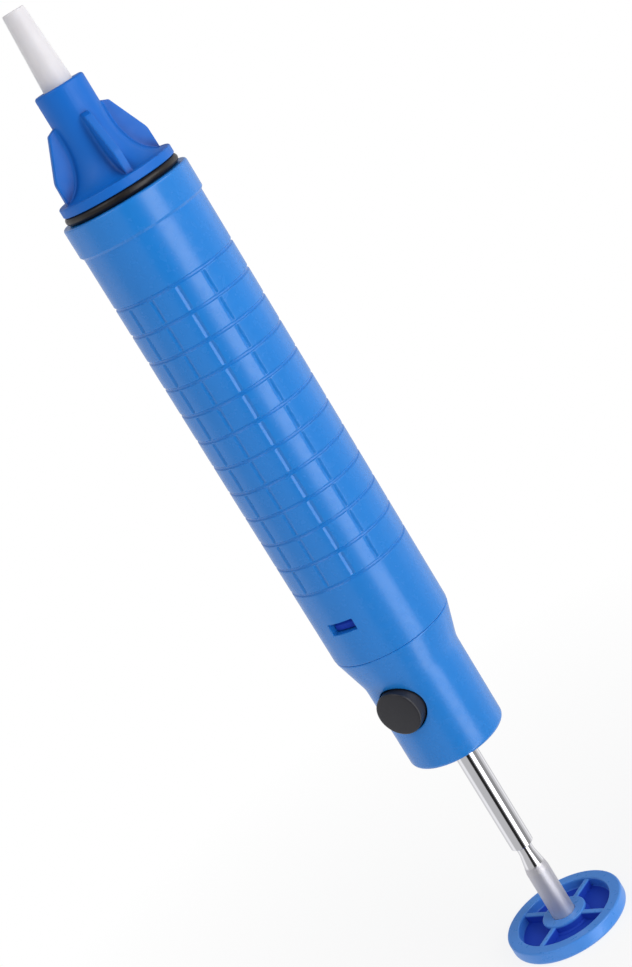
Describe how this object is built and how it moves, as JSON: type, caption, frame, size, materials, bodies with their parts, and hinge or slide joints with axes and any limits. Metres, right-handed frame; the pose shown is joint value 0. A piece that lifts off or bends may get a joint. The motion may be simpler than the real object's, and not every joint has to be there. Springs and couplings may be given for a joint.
{
  "type": "desoldering pump",
  "caption": "Spring-loaded desoldering pump: gripped tube with a finned nose, soft tapered nozzle, push-button latch, plated plunger rod and flanged knob.",
  "frame": {"origin": "centre of the plunger knob's flat outer face, on the tool's axis, which is also the bottom centre of the bounding box", "axes": "+Z along the tool's axis from the knob to the nozzle tip; -Y is the side of the push button; the tool stands on its knob, plunger released"},
  "size_m": [0.0249, 0.0248, 0.2005],
  "materials": {
    "knob": "satin moulded blue plastic",
    "barrel": "satin moulded blue plastic",
    "rear_housing": "satin moulded blue plastic",
    "nose": "satin moulded blue plastic",
    "nozzle": "waxy white fluoropolymer",
    "button": "satin black plastic",
    "piston": "natural moulded plastic",
    "seal": "black rubber",
    "buffer": "black rubber",
    "rod": "bright plating, satin at the knob end",
    "pin": "drawn steel",
    "hardware": "zinc-plated steel",
    "latch": "stamped steel",
    "spring": "drawn spring wire"
  },
  "bodies": {
    "housing": {"barrel": "barrel", "rear_housing": "rear_housing", "stop_buffer": "buffer", "main_spring": "spring", "trigger_spring": "spring"},
    "plunger": {"plunger_knob": "knob", "plunger_rod": "rod", "cleaning_pin": "pin", "piston": "piston", "piston_o_ring": "seal", "piston_back_washer": "hardware", "piston_front_washer": "hardware", "piston_nut": "hardware"},
    "trigger": {"trigger_button": "button", "latch_plate": "latch"},
    "nose": {"nose_cone": "nose", "nose_o_ring": "seal", "nozzle": "nozzle"}
  },
  "joints": [
    {"name": "plunger_slide", "type": "slide", "parent": "housing", "child": "plunger", "axis": [0, 0, 1], "range_m": [0, 0.0407], "stiffness_N_per_m": 350, "springref_m": -0.017, "deforming": ["main_spring"]},
    {"name": "trigger_slide", "type": "slide", "parent": "housing", "child": "trigger", "axis": [0, 1, 0], "range_m": [0, 0.0018], "stiffness_N_per_m": 150, "springref_m": -0.004, "deforming": ["trigger_spring"]},
    {"name": "nose_pull_off", "type": "slide", "parent": "housing", "child": "nose", "axis": [0, 0, 1], "range_m": [0, 0.02]}
  ]
}
